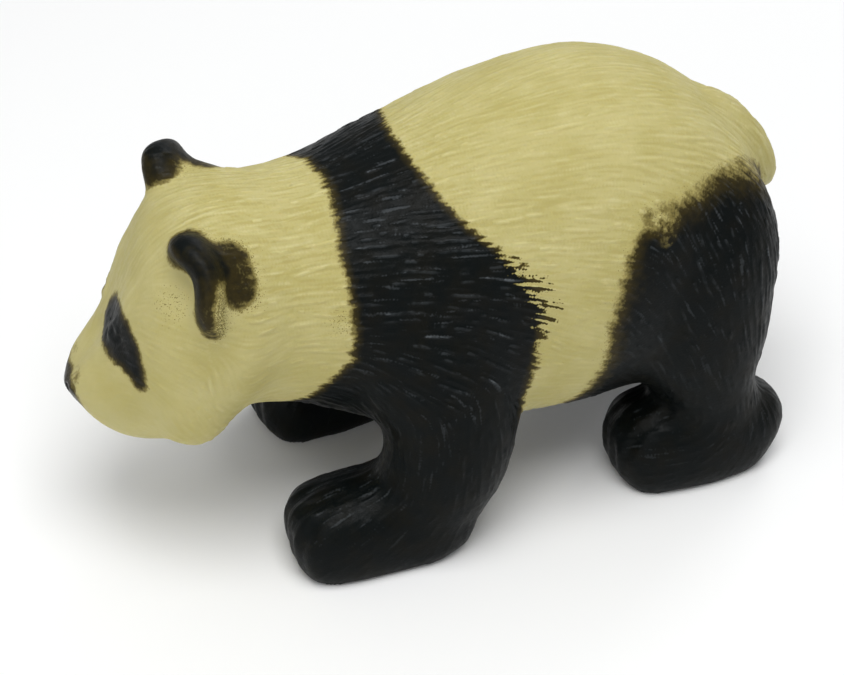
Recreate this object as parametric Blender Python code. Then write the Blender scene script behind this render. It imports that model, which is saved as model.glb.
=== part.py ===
"""Solid moulded figure of a walking panda, its head held low and turned a little to its right.

The figure faces -X and stands on the plane z = 0.  It is one closed solid: lofted and rounded
masses are fused, softened like modelling clay, carved, and cut flat under the four paws.
Every form is a share of the figure's length, so one value sets its size.
"""

import math

import bmesh
import bpy
import numpy as np
from mathutils import Matrix, Vector

# The driving dimension, in metres, from the nose to the tail
FIGURE_LENGTH = 0.0885

# Forms below are written in a unit of which the figure's length holds this many
UNITS_IN_LENGTH = 88.5
UNIT = FIGURE_LENGTH / UNITS_IN_LENGTH

# How the clay is worked: its grain, and how creases fill and swells ease with each round
CLAY_GRAIN = 0.5
SOFTEN_ROUNDS = 10
CREASE_ROUNDS = 60
CREASE_FILL = 0.5
SWELL_EASE = 0.06
TRIANGLE_BUDGET = 9600

CREAM = (0.58, 0.49, 0.25, 1.0)
SATIN_ROUGHNESS = 0.5

# Trunk from the nape to the rump: x, back line, belly line, half width
TRUNK_ROWS = (
    (-23.0, 46.2, 20.0, 9.0),
    (-19.5, 46.4, 18.6, 11.6),
    (-15.0, 45.5, 18.0, 13.0),
    (-11.2, 45.2, 16.2, 14.2),
    (-7.0, 45.6, 14.0, 15.3),
    (-2.0, 47.1, 12.8, 16.5),
    (2.5, 48.2, 11.6, 17.3),
    (7.5, 49.6, 10.4, 18.2),
    (13.5, 51.0, 9.5, 18.8),
    (20.0, 51.8, 9.0, 19.0),
    (25.0, 51.7, 9.7, 18.9),
    (30.0, 50.4, 11.0, 18.0),
    (35.0, 48.0, 13.8, 16.3),
    (39.5, 44.3, 18.0, 13.2),
    (43.0, 40.0, 23.5, 9.0),
    (45.2, 35.5, 28.5, 4.0),
)
TRUNK_SQUARENESS = (2.15, 2.15)

# How much further back the paws of the figure's right side stand
FAR_FORE_STRIDE = 4.6
FAR_HIND_STRIDE = 2.8
# Side, front of the toes, distance from the middle plane and groove depth, for each paw
PAWS = (
    (-1, -18.6, 12.4, 0.45),
    (1, -18.6 + FAR_FORE_STRIDE, 12.4, 0.45),
    (-1, 22.9, 12.0, 0.35),
    (1, 22.9 + FAR_HIND_STRIDE, 12.0, 0.35),
)

# Head in its own frame: distance ahead of its pivot, crown line, jaw line, half width
HEAD_PIVOT = (-22.4, 0.0, 32.0)
HEAD_PITCH = math.radians(35.0)
HEAD_YAW = math.radians(12.5)
HEAD_ROWS = (
    (-12.0, 8.3, -5.0, 7.5),
    (-9.0, 11.3, -8.0, 10.8),
    (-4.5, 13.0, -10.2, 13.0),
    (0.0, 12.6, -11.2, 13.8),
    (4.5, 10.1, -11.4, 13.2),
    (9.0, 6.9, -11.4, 11.4),
    (13.0, 4.8, -10.4, 9.4),
    (16.0, 4.0, -8.9, 7.6),
    (18.2, 3.2, -6.2, 5.6),
    (19.3, 2.0, -3.2, 3.0),
)
HEAD_SQUARENESS = (2.3, 2.2)
PAW_SQUARENESS = (2.3, 3.2)

# Masses of the head, for its left side: middle and half sizes ahead, across and up.
# The nose and the eyes are in the pitched head frame, the others in the level one.
NOSE_MIDDLE = (18.5, 0.0, 1.4)
NOSE_HALF_SIZES = (1.5, 2.4, 1.8)
EYE_MIDDLE = (9.2, 4.6, 5.5)
EYE_HALF_SIZES = (1.5, 1.3, 1.1)
EAR_MIDDLE = (0.8, 9.2, 9.0)
EAR_HALF_SIZES = (1.9, 5.0, 5.2)
EAR_ROOT_MIDDLE = (-0.3, 7.8, 6.7)
EAR_ROOT_HALF_SIZES = (3.2, 4.4, 6.4)
RUFF_MIDDLE = (3.2, 8.0, -4.8)
RUFF_HALF_SIZES = (5.8, 5.4, 9.2)

# Rim of the ear from the crown round to the cheek, in the level frame: where its middle is
# ahead, across and up, then its half thickness ahead and its half width in the ear's plane
EAR_RIM_ROWS = (
    (1.6, 3.4, 9.4, 2.0, 1.6),
    (2.2, 5.2, 10.9, 2.2, 1.7),
    (2.6, 7.0, 12.5, 2.3, 1.7),
    (2.9, 9.1, 13.9, 2.1, 1.7),
    (1.1, 11.8, 12.6, 1.4, 1.6),
    (1.1, 13.5, 10.0, 1.6, 1.8),
    (1.0, 13.6, 7.3, 1.6, 1.8),
    (0.2, 11.9, 5.3, 1.4, 1.8),
    (-0.4, 9.4, 4.0, 1.4, 1.6),
)

# How much further ahead the right ear sits
FAR_EAR_LEAD = 1.4

# Carving, in the level frame for the ears and in the body's own for the paws
EAR_CUP_REACH = 4.0
EAR_CUP_DEPTH = 1.4
TOE_COUNT = 5
TOE_SPACING = 2.5
TOE_GROOVE_REACH = 1.1
# Run of a toe groove: distance behind the toe's tip and height above the ground
TOE_GROOVE_RUN = ((6.0, 11.2), (2.0, 9.0), (0.0, 5.0), (0.6, 0.0))
# A groove is pressed in backward by its depth and down by this share of it
TOE_GROOVE_DROP = 0.7
MOUTH_PATH = ((19.6, 0.0, -0.4), (19.0, 0.0, -3.0), (17.2, 4.4, -4.6), (13.5, 7.8, -5.2))
MOUTH_REACH = 1.1
MOUTH_DEPTH = 0.5


class Row:
    """One cross-section of a loft: its middle, its two directions and its three half sizes."""

    def __init__(self, middle, side, rise, half_width, above, below):
        self.middle = middle
        self.side = side
        self.rise = rise
        self.half_width = half_width
        self.above = above
        self.below = below

    def point(self, turn, squareness):
        """Point of the section at an angle from its side direction."""
        power = 2.0 / (squareness[0] if math.sin(turn) > 0.0 else squareness[1])
        across = math.copysign(abs(math.cos(turn)) ** power, math.cos(turn))
        rise = math.copysign(abs(math.sin(turn)) ** power, math.sin(turn))
        height = self.above if rise > 0.0 else self.below
        return self.middle + self.side * (across * self.half_width) + self.rise * (rise * height)


def clear_scene():
    """Removes whatever the scene holds."""
    for found in list(bpy.data.objects):
        bpy.data.objects.remove(found)


def through(rows, steps):
    """Rows of a table with smooth in-between rows, passing through each given one."""
    table = np.array(rows, float)
    padded = np.vstack([2.0 * table[0] - table[1], table, 2.0 * table[-1] - table[-2]])
    made = []
    for first in range(len(table) - 1):
        before, start, end, after = padded[first : first + 4]
        for step in range(steps):
            t = step / steps
            bend = 2.0 * before - 5.0 * start + 4.0 * end - after
            swing = -before + 3.0 * start - 3.0 * end + after
            made.append(0.5 * (2.0 * start + (end - before) * t + bend * t**2 + swing * t**3))
    made.append(table[-1])
    return made


def loft(sections, squareness, sides=40):
    """Closed mesh over a run of sections, each end drawn together in one point."""
    shape = bmesh.new()
    rings = []
    for section in sections:
        turns = [2.0 * math.pi * k / sides for k in range(sides)]
        rings.append([shape.verts.new(section.point(turn, squareness)) for turn in turns])
    for ring, following in zip(rings, rings[1:]):
        for k in range(sides):
            after = (k + 1) % sides
            shape.faces.new((ring[k], ring[after], following[after], following[k]))
    for ring, section in ((rings[0], sections[0]), (rings[-1], sections[-1])):
        tip = shape.verts.new(section.middle)
        for k in range(sides):
            shape.faces.new((ring[k], ring[(k + 1) % sides], tip))
    bmesh.ops.recalc_face_normals(shape, faces=shape.faces)
    return shape


def trunk():
    """Barrel of the body, from the nape to the rump."""
    sections = []
    for x, back, belly, half_width in through(TRUNK_ROWS, 3):
        middle = 0.5 * (back + belly)
        half_height = 0.5 * (back - belly)
        centre = Vector((x, 0.0, middle))
        sections.append(
            Row(centre, Vector((0, 1, 0)), Vector((0, 0, 1)), half_width, half_height, half_height)
        )
    return loft(sections, TRUNK_SQUARENESS)


def limb(rows, squareness=(2.1, 2.1), across=(0, 1, 0), steps=3):
    """Loft along a bent path: x, y, z, half width in the across direction, half depth."""
    table = through(rows, steps)
    middles = [Vector(row[:3]) for row in table]
    sections = []
    for k, row in enumerate(table):
        run = middles[min(k + 1, len(table) - 1)] - middles[max(k - 1, 0)]
        run.normalize()
        side = Vector(across)
        side = (side - run * side.dot(run)).normalized()
        rise = side.cross(run).normalized()
        sections.append(Row(middles[k], side, rise, row[3], row[4], row[4]))
    return loft(sections, squareness)


def ball(middle, half_sizes):
    """Ellipsoid with its half sizes along the three directions of its frame."""
    shape = bmesh.new()
    bmesh.ops.create_icosphere(shape, subdivisions=4, radius=1.0)
    place = Matrix.Translation(middle) @ Matrix.Diagonal((*half_sizes, 1.0))
    bmesh.ops.transform(shape, matrix=place, verts=shape.verts)
    return shape


def head_frame(pitch):
    """Frame at the head's pivot: x ahead and down by the pitch, y to the figure's left."""
    ahead = Vector(
        (
            -math.cos(pitch) * math.cos(HEAD_YAW),
            math.cos(pitch) * math.sin(HEAD_YAW),
            -math.sin(pitch),
        )
    )
    left = Vector((-math.sin(HEAD_YAW), -math.cos(HEAD_YAW), 0.0))
    crown = ahead.cross(left)
    turn = Matrix((ahead, left, crown)).transposed()
    return Matrix.Translation(HEAD_PIVOT) @ turn.to_4x4()


def ear_frame(side):
    """Level head frame, moved ahead by the right ear's lead for the side -1."""
    lead = FAR_EAR_LEAD if side < 0 else 0.0
    return head_frame(0.0) @ Matrix.Translation((lead, 0.0, 0.0))


def skull():
    """Head from the nape to the muzzle's end, in the head frame."""
    sections = []
    for ahead, crown, jaw, half_width in through(HEAD_ROWS, 3):
        middle = 0.5 * (crown + jaw)
        half_height = 0.5 * (crown - jaw)
        centre = Vector((ahead, 0.0, middle))
        sections.append(
            Row(centre, Vector((0, 1, 0)), Vector((0, 0, 1)), half_width, half_height, half_height)
        )
    return loft(sections, HEAD_SQUARENESS)


def head_masses():
    """All the masses of the head, placed on the body."""
    pitched = head_frame(HEAD_PITCH)
    level = head_frame(0.0)
    placed = [
        (skull(), pitched),
        (ball(NOSE_MIDDLE, NOSE_HALF_SIZES), pitched),
    ]
    for side in (1, -1):
        placed.append((ball(mirrored(EYE_MIDDLE, side), EYE_HALF_SIZES), pitched))
        placed.append((ball(mirrored(RUFF_MIDDLE, side), RUFF_HALF_SIZES), level))
        placed.append((ball(mirrored(EAR_ROOT_MIDDLE, side), EAR_ROOT_HALF_SIZES), level))
        rim = [(*mirrored(row, side), *row[3:]) for row in EAR_RIM_ROWS]
        placed.append((ball(mirrored(EAR_MIDDLE, side), EAR_HALF_SIZES), ear_frame(side)))
        placed.append((limb(rim, across=(1, 0, 0)), ear_frame(side)))
    for mass, frame in placed:
        bmesh.ops.transform(mass, matrix=frame, verts=mass.verts)
    return [mass for mass, frame in placed]


def mirrored(point, side):
    """Point of the figure's left (1) or of its right (-1) in a head frame."""
    return (point[0], side * point[1], point[2])


def foreleg(side, stride):
    """Foreleg and paw. side is -1 for the figure's left, and stride moves the paw back."""
    upper = limb(
        (
            (-2.0, side * 6.0, 36.0, 4.5, 8.0),
            (-1.0, side * 9.4, 31.5, 7.2, 10.5),
            (0.6 + 0.1 * stride, side * 12.2, 25.0, 7.0, 9.8),
            (1.6 + 0.4 * stride, side * 14.0, 18.5, 6.6, 8.2),
            (0.8 + 0.8 * stride, side * 14.5, 12.5, 6.4, 7.6),
            (-1.8 + stride, side * 14.0, 7.0, 6.0, 6.8),
            (-4.0 + stride, side * 13.4, 3.8, 5.2, 4.0),
        )
    )
    paw = limb(
        (
            (3.4 + stride, side * 14.0, 3.3, 4.4, 3.4),
            (-0.6 + stride, side * 13.8, 4.4, 6.0, 5.6),
            (-6.0 + stride, side * 13.2, 4.6, 6.3, 6.1),
            (-12.5 + stride, side * 12.8, 4.4, 6.4, 5.9),
            (-16.4 + stride, side * 12.4, 4.4, 5.4, 4.9),
            (-18.2 + stride, side * 12.2, 4.3, 2.8, 2.6),
        ),
        PAW_SQUARENESS,
    )
    return [upper, paw]


def hindleg(side, stride):
    """Hind leg and foot, with the haunch that swells from the rump."""
    haunch = limb(
        (
            (31.0, side * 4.0, 41.0, 5.0, 7.0),
            (31.8, side * 8.0, 36.8, 7.2, 10.4),
            (32.6, side * 10.6, 31.0, 8.0, 11.4),
            (33.0 + 0.2 * stride, side * 11.8, 25.0, 7.8, 10.4),
            (34.0 + 0.5 * stride, side * 12.6, 18.5, 7.0, 8.6),
            (34.9 + 0.8 * stride, side * 12.8, 12.5, 6.2, 6.1),
            (36.6 + stride, side * 12.8, 6.5, 5.8, 5.8),
            (36.8 + stride, side * 12.8, 3.6, 4.8, 4.6),
        )
    )
    foot = limb(
        (
            (44.2 + stride, side * 12.9, 3.4, 3.2, 3.2),
            (41.6 + stride, side * 12.9, 4.4, 5.3, 5.4),
            (36.0 + stride, side * 12.8, 4.8, 6.3, 6.3),
            (30.5 + stride, side * 12.5, 4.8, 6.4, 6.3),
            (25.8 + stride, side * 12.0, 4.7, 5.8, 5.6),
            (23.2 + stride, side * 11.8, 4.6, 3.0, 2.8),
        ),
        PAW_SQUARENESS,
    )
    return [haunch, foot]


def tail():
    """Short flat tail that lies down the rump."""
    return limb(
        (
            (39.2, 0.0, 43.6, 2.5, 1.6),
            (41.9, 0.0, 41.2, 3.6, 2.1),
            (44.4, 0.0, 38.0, 4.2, 2.3),
            (46.1, 0.0, 34.8, 4.2, 2.4),
            (46.9, 0.0, 31.8, 3.6, 2.3),
            (46.7, 0.0, 29.4, 1.6, 1.2),
        )
    )


def fused(masses, name):
    """One object from the masses, welded and softened as clay would be."""
    gathered = bmesh.new()
    for mass in masses:
        spare = bpy.data.meshes.new("mass")
        mass.to_mesh(spare)
        mass.free()
        gathered.from_mesh(spare)
        bpy.data.meshes.remove(spare)
    bmesh.ops.scale(gathered, vec=(UNIT, UNIT, UNIT), verts=gathered.verts)
    mesh = bpy.data.meshes.new(name)
    gathered.to_mesh(mesh)
    gathered.free()
    figure = bpy.data.objects.new(name, mesh)
    bpy.context.scene.collection.objects.link(figure)
    weld = figure.modifiers.new("weld_clay", "REMESH")
    weld.mode = "VOXEL"
    weld.voxel_size = CLAY_GRAIN * UNIT
    soften = figure.modifiers.new("soften_clay", "SMOOTH")
    soften.factor = 0.5
    soften.iterations = SOFTEN_ROUNDS
    return figure


def settle(figure):
    """Puts the evaluated shape in place of the object's own mesh and drops its modifiers."""
    graph = bpy.context.evaluated_depsgraph_get()
    shaped = bpy.data.meshes.new_from_object(figure.evaluated_get(graph))
    figure.modifiers.clear()
    figure.data = shaped


def fill_creases(figure, rounds):
    """Presses clay into the hollows where masses meet and leaves the swells alone."""
    mesh = figure.data
    count = len(mesh.vertices)
    places = np.empty(count * 3)
    mesh.vertices.foreach_get("co", places)
    places = places.reshape(-1, 3)
    ends = np.empty(len(mesh.edges) * 2, int)
    mesh.edges.foreach_get("vertices", ends)
    first, second = ends.reshape(-1, 2).T
    valence = np.bincount(first, minlength=count) + np.bincount(second, minlength=count)
    for _ in range(rounds):
        mesh.vertices.foreach_set("co", places.ravel())
        mesh.update()
        normals = np.empty(count * 3)
        mesh.vertex_normals.foreach_get("vector", normals)
        normals = normals.reshape(-1, 3)
        pull = np.stack(
            [
                np.bincount(first, places[second, axis], count)
                + np.bincount(second, places[first, axis], count)
                for axis in range(3)
            ],
            axis=1,
        )
        pull = pull / valence[:, None] - places
        hollow = np.einsum("ij,ij->i", pull, normals) > 0.0
        places += pull * np.where(hollow, CREASE_FILL, SWELL_EASE)[:, None]
    mesh.vertices.foreach_set("co", places.ravel())
    mesh.update()


def places_of(mesh):
    """Positions of the mesh's vertices, in the form's own unit."""
    flat = np.empty(len(mesh.vertices) * 3)
    mesh.vertices.foreach_get("co", flat)
    return flat.reshape(-1, 3) / UNIT


def to_mesh(mesh, places):
    """Puts positions in the form's own unit back on the mesh."""
    mesh.vertices.foreach_set("co", (places * UNIT).ravel())
    mesh.update()


def press(places, path, reach, push):
    """Moves what lies near a path by a push that fades to nothing at its reach."""
    nearest = np.full(len(places), np.inf)
    for start, end in zip(path, path[1:]):
        run = np.subtract(end, start)
        along = np.clip((places - start) @ run / max(run @ run, 1e-9), 0.0, 1.0)
        gap = np.linalg.norm(places - (start + along[:, None] * run), axis=1)
        nearest = np.minimum(nearest, gap)
    weight = np.clip(1.0 - (nearest / reach) ** 2, 0.0, 1.0) ** 2
    places += weight[:, None] * np.array(push)


def carve(figure):
    """Hollows the ears, draws the mouth and parts the toes."""
    places = places_of(figure.data)
    pitched = head_frame(HEAD_PITCH)
    for side in (1, -1):
        level = ear_frame(side)
        front = (EAR_MIDDLE[0] + EAR_HALF_SIZES[0], EAR_MIDDLE[1], EAR_MIDDLE[2])
        cup = np.array(level @ Vector(mirrored(front, side)))
        back = np.array(level.to_3x3() @ Vector((-EAR_CUP_DEPTH, 0.0, 0.0)))
        press(places, (cup, cup + 1e-3), EAR_CUP_REACH, back)
        lips = [np.array(pitched @ Vector(mirrored(point, side))) for point in MOUTH_PATH]
        inward = np.array(pitched.to_3x3() @ Vector((-MOUTH_DEPTH, 0.0, 0.0)))
        press(places, lips, MOUTH_REACH, inward)
    for side, toe_tip, middle, depth in PAWS:
        for k in range(TOE_COUNT - 1):
            across = side * middle + (k - 0.5 * (TOE_COUNT - 2)) * TOE_SPACING
            path = [np.array((toe_tip + behind, across, up)) for behind, up in TOE_GROOVE_RUN]
            press(places, path, TOE_GROOVE_REACH, (depth, 0.0, -TOE_GROOVE_DROP * depth))
    to_mesh(figure.data, places)


def thin_out(figure):
    """Fewer triangles, kept where the form bends most."""
    figure.data.calc_loop_triangles()
    thin = figure.modifiers.new("thin_out", "DECIMATE")
    thin.ratio = TRIANGLE_BUDGET / len(figure.data.loop_triangles)
    thin.use_collapse_triangulate = True
    settle(figure)


def cut_soles(figure):
    """Cuts the paws flat at the ground."""
    shape = bmesh.new()
    shape.from_mesh(figure.data)
    everything = shape.verts[:] + shape.edges[:] + shape.faces[:]
    bmesh.ops.bisect_plane(
        shape, geom=everything, plane_co=(0, 0, 0), plane_no=(0, 0, 1), clear_inner=True
    )
    rim = [edge for edge in shape.edges if edge.is_boundary]
    bmesh.ops.holes_fill(shape, edges=rim, sides=0)
    bmesh.ops.triangulate(shape, faces=shape.faces[:])
    bmesh.ops.recalc_face_normals(shape, faces=shape.faces)
    shape.to_mesh(figure.data)
    shape.free()


def centre(figure):
    """Moves the figure so that its box stands centred on the origin."""
    places = places_of(figure.data)
    middle = 0.5 * (places.min(axis=0) + places.max(axis=0))
    to_mesh(figure.data, places - (middle[0], middle[1], 0.0))


def plastic():
    """Cream moulding plastic."""
    material = bpy.data.materials.new("cream_plastic")
    material.use_nodes = True
    shader = material.node_tree.nodes["Principled BSDF"]
    shader.inputs["Base Color"].default_value = CREAM
    shader.inputs["Roughness"].default_value = SATIN_ROUGHNESS
    return material


def main():
    """Builds the figure."""
    clear_scene()
    masses = [trunk(), tail()] + head_masses()
    masses += foreleg(-1, 0.0) + foreleg(1, FAR_FORE_STRIDE)
    masses += hindleg(-1, 0.0) + hindleg(1, FAR_HIND_STRIDE)
    figure = fused(masses, "panda_figure")
    settle(figure)
    fill_creases(figure, CREASE_ROUNDS)
    carve(figure)
    thin_out(figure)
    cut_soles(figure)
    centre(figure)
    figure.data.shade_smooth()
    figure.data.materials.append(plastic())


main()
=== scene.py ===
"""Looks of a small moulded panda: soft cream plastic, raised fur and sprayed black paint.

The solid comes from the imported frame.  Here it is refined, its face is worked over, the fur is
raised hair by hair, and the paint is sprayed on.  Lengths are in millimetres unless a name
says metres.  The figure faces -X, and its left side is -Y.
"""

import logging
import math
import random
from collections.abc import Iterable, Sequence
from dataclasses import dataclass, field
from enum import Enum

import bmesh
import bpy
import numpy as np
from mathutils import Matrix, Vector, noise
from mathutils.kdtree import KDTree


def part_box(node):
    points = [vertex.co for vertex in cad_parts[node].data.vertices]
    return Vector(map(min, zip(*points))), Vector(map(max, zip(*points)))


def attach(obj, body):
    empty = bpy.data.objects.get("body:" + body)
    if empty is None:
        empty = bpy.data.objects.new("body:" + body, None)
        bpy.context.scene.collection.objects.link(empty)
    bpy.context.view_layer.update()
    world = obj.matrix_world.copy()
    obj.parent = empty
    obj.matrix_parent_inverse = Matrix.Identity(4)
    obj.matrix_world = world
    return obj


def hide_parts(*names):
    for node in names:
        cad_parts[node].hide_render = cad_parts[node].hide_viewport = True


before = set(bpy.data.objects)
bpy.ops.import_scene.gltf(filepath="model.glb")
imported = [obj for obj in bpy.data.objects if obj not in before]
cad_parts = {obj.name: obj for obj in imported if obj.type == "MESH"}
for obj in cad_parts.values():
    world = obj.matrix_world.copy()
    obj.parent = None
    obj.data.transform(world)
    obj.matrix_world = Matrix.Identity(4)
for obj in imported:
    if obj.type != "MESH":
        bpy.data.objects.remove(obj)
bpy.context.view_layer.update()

LOG = logging.getLogger("panda")
METRES = 0.001

Pair = tuple[float, float]
Triple = tuple[float, float, float]


class Side(Enum):
    """Sides of the figure, as the sign of a distance to its left."""

    LEFT = 1
    RIGHT = -1


class Layer(Enum):
    """What is stored on each vertex for the finish to read."""

    PAINT = "paint_depth"
    SPRAY = "spray_density"
    THIN = "thin_paint"
    FRINGE = "fringe_reach"
    # Height of the hair, read for the painted highlights on its top
    CREST = "hair_crest"
    GLOSS = "wet_gloss"
    # Strength of the coat, weaker where the surface faces down, for the painted light of the hairs and
    # their relief
    COAT = "coat_and_top_light"
    WAY = "fur_way"


@dataclass(frozen=True)
class HeadFrame:
    """Frame of the head: ahead, to the figure's left and up, from the head's pivot."""

    pitch: float = 0.0
    yaw: float = math.radians(12.5)
    pivot: Triple = (-27.04, 0.0, 32.0)

    def axes(self) -> np.ndarray:
        """Works out the frame's own directions.

        Returns:
            Unit vectors ahead, left and up as rows, in body coordinates.
        """
        ahead = np.array(
            (
                -math.cos(self.pitch) * math.cos(self.yaw),
                math.cos(self.pitch) * math.sin(self.yaw),
                -math.sin(self.pitch),
            )
        )
        left = np.array((-math.sin(self.yaw), -math.cos(self.yaw), 0.0))
        return np.stack((ahead, left, np.cross(ahead, left)))

    def from_body(self, places: np.ndarray) -> np.ndarray:
        """Body coordinates as head coordinates."""
        return (places - np.array(self.pivot)) @ self.axes().T

    def to_body(self, places: Sequence[Triple], side: Side = Side.LEFT) -> np.ndarray:
        """Head coordinates, given for the left side, as body coordinates on a side."""
        given = np.array(places, float).reshape(-1, 3) * (1.0, side.value, 1.0)
        return given @ self.axes() + np.array(self.pivot)

    def ways_to_body(self, ways: Sequence[Triple], side: Side = Side.LEFT) -> np.ndarray:
        """Directions in head coordinates, for the left side, as body directions on a side."""
        given = np.array(ways, float).reshape(-1, 3) * (1.0, side.value, 1.0)
        return given @ self.axes()


LEVEL_HEAD = HeadFrame()
PITCHED_HEAD = HeadFrame(pitch=math.radians(35.0))


@dataclass(frozen=True)
class Gait:
    """How much further back the paws of the right side stand than those of the left."""

    fore: float = 4.6
    hind: float = 2.8
    middle: float = 10.0
    hip_height: float = 25.0
    ankle_height: float = 6.0

    def shift(self, places: np.ndarray) -> np.ndarray:
        """Works out how far back places are moved on the right side.

        Args:
            places: Places on the right side.

        Returns:
            The distances, which grow from the hip to the ankle.
        """
        rise = (self.hip_height - places[:, 2]) / (self.hip_height - self.ankle_height)
        rise = np.clip(rise, 0.0, 1.0)
        stride = np.where(places[:, 0] < self.middle, self.fore, self.hind)
        return stride * rise * rise * (3.0 - 2.0 * rise)

    def as_left(self, places: np.ndarray) -> np.ndarray:
        """Works out the place of the left side that each place mirrors.

        Args:
            places: Places on either side.

        Returns:
            The places of the left side.
        """
        left = places.copy()
        right_side = places[:, 1] > 0.0
        left[:, 0] -= np.where(right_side, self.shift(places), 0.0)
        left[:, 1] = -np.abs(places[:, 1])
        return left

    def on_side(self, places: np.ndarray, side: Side) -> np.ndarray:
        """Works out the twins of places on a side.

        Args:
            places: Places of the left side.
            side: The side that the twins are on.

        Returns:
            The twins.
        """
        if side is Side.LEFT:
            return places
        twins = places * (1.0, -1.0, 1.0)
        twins[:, 0] += self.shift(places)
        return twins


GAIT = Gait()


def ease(low: float, high: float, values: np.ndarray) -> np.ndarray:
    """Smooth step from 0 at low to 1 at high."""
    share = np.clip((values - low) / (high - low), 0.0, 1.0)
    return share * share * (3.0 - 2.0 * share)


def gap_to_path(places: np.ndarray, path: np.ndarray) -> tuple[np.ndarray, np.ndarray]:
    """Distance of each place from a bent line.

    Args:
        places: The places, one to a row.
        path: Corners of the line, one to a row.

    Returns:
        The distances, and how far along the line each nearest point is, in corners.
    """
    nearest = np.full(len(places), np.inf)
    station = np.zeros(len(places))
    for k, (start, end) in enumerate(zip(path, path[1:])):
        run = end - start
        share = np.clip((places - start) @ run / max(float(run @ run), 1e-9), 0.0, 1.0)
        gap = np.linalg.norm(places - (start + share[:, None] * run), axis=1)
        closer = gap < nearest
        nearest[closer] = gap[closer]
        station[closer] = k + share[closer]
    return nearest, station


@dataclass
class Clay:
    """The working mesh's vertices, with the brushes that shape them."""

    piece: bpy.types.Object
    places: np.ndarray = field(init=False)
    normals: np.ndarray = field(init=False)

    def __post_init__(self) -> None:
        """Reads the mesh."""
        self.read()

    def read(self) -> None:
        """Takes places and normals from the mesh."""
        mesh = self.piece.data
        flat = np.empty(len(mesh.vertices) * 3)
        mesh.vertices.foreach_get("co", flat)
        self.places = flat.reshape(-1, 3) / METRES
        tilt = np.empty(len(mesh.vertices) * 3)
        mesh.vertex_normals.foreach_get("vector", tilt)
        self.normals = tilt.reshape(-1, 3)

    def write(self) -> None:
        """Puts the places back on the mesh and reads the new normals."""
        mesh = self.piece.data
        mesh.vertices.foreach_set("co", (self.places * METRES).ravel())
        mesh.update()
        self.read()

    def near(self, path: np.ndarray, reach: float) -> tuple[np.ndarray, np.ndarray]:
        """Vertices within a reach of a path.

        Args:
            path: Corners of the path, one to a row.
            reach: How far the brush works, in millimetres.

        Returns:
            The vertices' indices, and weights that fall from 1 on the path to 0.
        """
        low = path.min(axis=0) - reach
        high = path.max(axis=0) + reach
        inside = np.all((self.places > low) & (self.places < high), axis=1)
        index = np.nonzero(inside)[0]
        gap, _ = gap_to_path(self.places[index], path)
        close = gap < reach
        index = index[close]
        return index, (1.0 - (gap[close] / reach) ** 2) ** 2

    def swell(self, path: np.ndarray, reach: float, height: float) -> None:
        """Raises the clay along a path, or cuts it where the height is negative."""
        index, weight = self.near(path, reach)
        self.places[index] += self.normals[index] * (weight * height)[:, None]


@dataclass(frozen=True)
class Swell:
    """A line along which clay is raised, or cut where the height is negative."""

    path: tuple[Triple, ...]
    reach: float
    height: float


@dataclass(frozen=True)
class FaceTools:
    """Eyes, brows, nose and mouth, in the pitched head frame for the left side."""

    bridge: Swell = Swell(((17.6, 0.0, 3.9), (15.2, 0.0, 4.9), (13.2, 0.0, 5.6)), 3.4, -0.55)
    # The tip crosses the middle, so each side gives half of it
    tip: Swell = Swell(((19.3, 0.0, 0.4), (19.0, 1.6, 0.6)), 2.2, 0.25)
    brow: Swell = Swell(((7.4, 4.8, 8.2), (5.6, 4.9, 9.2)), 3.4, 0.35)
    eye: Swell = Swell(((10.0, 3.9, 6.4), (10.0, 3.9, 6.4)), 1.25, 0.26)
    lid: Swell = Swell(((11.2, 2.9, 6.0), (10.2, 2.6, 6.6), (8.8, 3.9, 7.0), (8.6, 5.2, 6.8)), 0.7, 0.16)
    socket: Swell = Swell(((11.6, 4.6, 5.4), (10.4, 5.6, 5.8), (9.0, 6.0, 6.4)), 0.7, -0.16)
    nostril: Swell = Swell(((19.6, 1.3, 1.8), (19.6, 1.3, 1.8)), 0.75, -0.5)
    wing: Swell = Swell(((18.6, 2.9, 2.6), (18.0, 3.2, 1.6), (18.2, 2.9, 0.4)), 0.7, -0.3)
    lip: Swell = Swell(
        (
            (19.6, 0.3, -0.6),
            (19.2, 1.2, -3.0),
            (17.2, 4.4, -4.7),
            (13.5, 7.9, -5.3),
            (11.0, 9.3, -5.0),
        ),
        0.6,
        -0.28,
    )

    def work(self, clay: Clay) -> None:
        """Works the face over, its large forms before its small ones.

        Args:
            clay: The working mesh.
        """
        clay.swell(PITCHED_HEAD.to_body(self.bridge.path), self.bridge.reach, self.bridge.height)
        self.work_sides(clay, (self.tip, self.brow))
        clay.write()
        self.work_sides(clay, (self.eye, self.lid, self.socket, self.nostril, self.wing, self.lip))

    def work_sides(self, clay: Clay, swells: Sequence[Swell]) -> None:
        """Works some forms of both sides.

        Args:
            clay: The working mesh.
            swells: The forms, for the left side.
        """
        for side in Side:
            for swell in swells:
                clay.swell(PITCHED_HEAD.to_body(swell.path, side), swell.reach, swell.height)


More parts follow.
